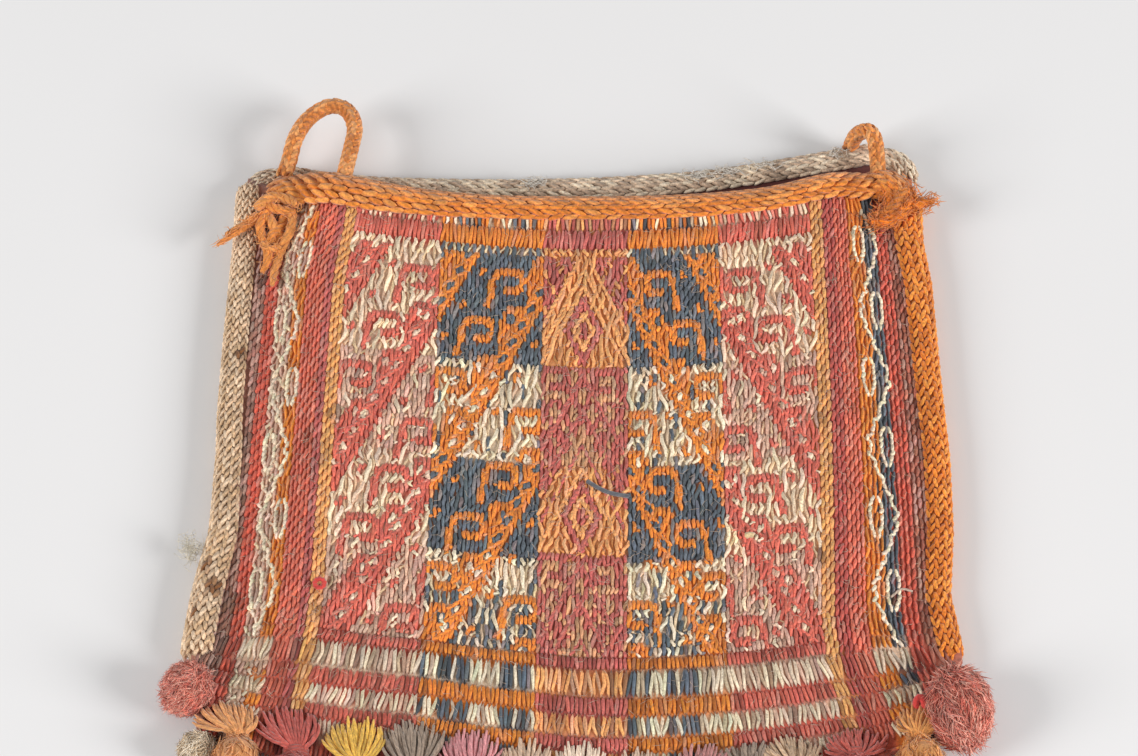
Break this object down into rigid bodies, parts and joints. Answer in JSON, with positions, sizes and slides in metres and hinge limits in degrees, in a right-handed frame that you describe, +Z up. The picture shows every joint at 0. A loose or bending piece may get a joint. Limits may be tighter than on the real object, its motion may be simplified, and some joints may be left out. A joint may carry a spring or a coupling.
{
  "type": "woven wool bag",
  "caption": "Small flat pouch of striped, figured wool cloth with tubular edging round its sides and mouth, cord loops to hang it by, and wool tassels and pompoms along its foot",
  "frame": {"origin": "middle of the underside of the bounding box, as the bag lies on its back", "axes": "+Z up from the surface it lies on, +Y from the tasselled foot to the mouth, +X to the right of the patterned front"},
  "size_m": [0.1566, 0.1628, 0.0137],
  "materials": {
    "striped_cloth": "warp-faced wool weave in coral, orange, cream, navy and maroon stripes",
    "cream_edging": "matte wool yarn",
    "orange_edging": "matte wool yarn",
    "grey_edging": "matte wool yarn",
    "orange_cord": "matte wool yarn",
    "tan_wool": "matte wool yarn",
    "maroon_wool": "matte wool yarn",
    "yellow_wool": "matte wool yarn",
    "grey_wool": "matte wool yarn",
    "pink_wool": "matte wool yarn",
    "cream_wool": "matte wool yarn",
    "white_wool": "matte wool yarn",
    "beige_wool": "matte wool yarn",
    "rose_wool": "matte wool yarn",
    "red_ring": "satin red ring"
  },
  "bodies": {
    "root": {"bag_cloth": "striped_cloth", "left_side_edging": "cream_edging", "right_side_edging": "orange_edging", "front_mouth_edging": "orange_edging", "back_mouth_edging": "grey_edging", "left_hanging_loop": "orange_cord", "right_hanging_loop": "orange_cord", "left_tie_knot": "orange_cord", "right_yarn_tuft": "orange_cord", "tassel_01": "tan_wool", "tassel_02": "maroon_wool", "tassel_03": "yellow_wool", "tassel_04": "grey_wool", "tassel_05": "pink_wool", "tassel_06": "cream_wool", "tassel_07": "white_wool", "tassel_08": "cream_wool", "tassel_09": "pink_wool", "tassel_10": "grey_wool", "tassel_11": "beige_wool", "tassel_12": "maroon_wool", "tassel_13": "tan_wool", "left_corner_pompom": "rose_wool", "left_cream_pompom": "cream_wool", "right_corner_pompom": "rose_wool", "red_bead": "red_ring"}
  },
  "joints": []
}
